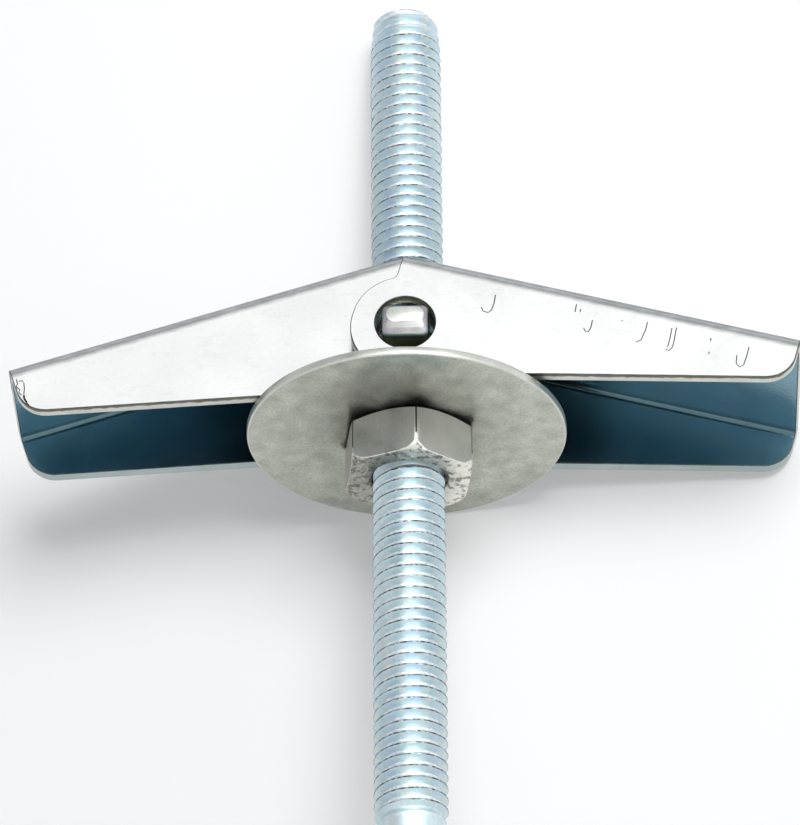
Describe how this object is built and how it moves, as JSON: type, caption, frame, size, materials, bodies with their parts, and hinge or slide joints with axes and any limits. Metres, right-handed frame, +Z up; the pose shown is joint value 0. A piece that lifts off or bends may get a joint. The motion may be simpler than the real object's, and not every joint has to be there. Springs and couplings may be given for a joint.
{
  "type": "spring toggle bolt",
  "caption": "Spring toggle bolt: threaded rod with hex nut, wide washer and a sprung toggle of folded sheet wings on a pivot nut.",
  "frame": {"origin": "middle of the resting bolt's outline, on the floor it lies on", "axes": "+Z up from the floor; the rod lies along Y, with its toggle end at +Y and 14.4 degrees below the level; the wings open along X, with the outer wing at +X"},
  "size_m": [0.0652, 0.0842, 0.0265],
  "materials": {
    "blue_zinc": "rolled thread, pale blue zinc plating, glossy",
    "bright_zinc": "zinc plated steel, scratched bright edges",
    "grained_zinc": "zinc plated sheet, finely grained",
    "wing_zinc": "smooth zinc plated sheet, bright",
    "spring_steel": "drawn spring wire, oiled"
  },
  "bodies": {
    "rod": {"threaded_rod": "blue_zinc"},
    "washer": {"washer": "grained_zinc"},
    "nut": {"hex_nut": "bright_zinc"},
    "toggle_head": {"pivot_nut": "bright_zinc", "torsion_spring": "spring_steel"},
    "outer_wing": {"outer_wing": "wing_zinc"},
    "inner_wing": {"inner_wing": "wing_zinc"}
  },
  "joints": [
    {"name": "washer_slide", "type": "slide", "parent": "rod", "child": "washer", "axis": [0, 0.9687, -0.2483], "range_m": [-0.031, 0]},
    {"name": "nut_spin", "type": "hinge", "parent": "washer", "child": "nut", "pos_m": [0.00001, 0.00234, 0.01274], "axis": [0, 0.9687, -0.2483], "range_deg": [-11160, 0]},
    {"name": "head_slide", "type": "slide", "parent": "rod", "child": "toggle_head", "axis": [0, 0.9687, -0.2483], "range_m": [0, 0.03]},
    {"name": "outer_fold", "type": "hinge", "parent": "toggle_head", "child": "outer_wing", "pos_m": [0.00001, 0.00841, 0.01119], "axis": [-0.1533, -0.2454, -0.9572], "range_deg": [0, 74], "deforming": ["torsion_spring"]},
    {"name": "inner_fold", "type": "hinge", "parent": "toggle_head", "child": "inner_wing", "pos_m": [0.00001, 0.00841, 0.01119], "axis": [0.1533, 0.2454, 0.9572], "range_deg": [0, 74]}
  ],
  "couplings": [
    {"joint": "nut_spin", "follows": "washer_slide", "rad_per_m": 6283.2},
    {"joint": "outer_fold", "follows": "washer_slide", "rad_per_m": -41.663},
    {"joint": "inner_fold", "follows": "washer_slide", "rad_per_m": -41.663}
  ]
}
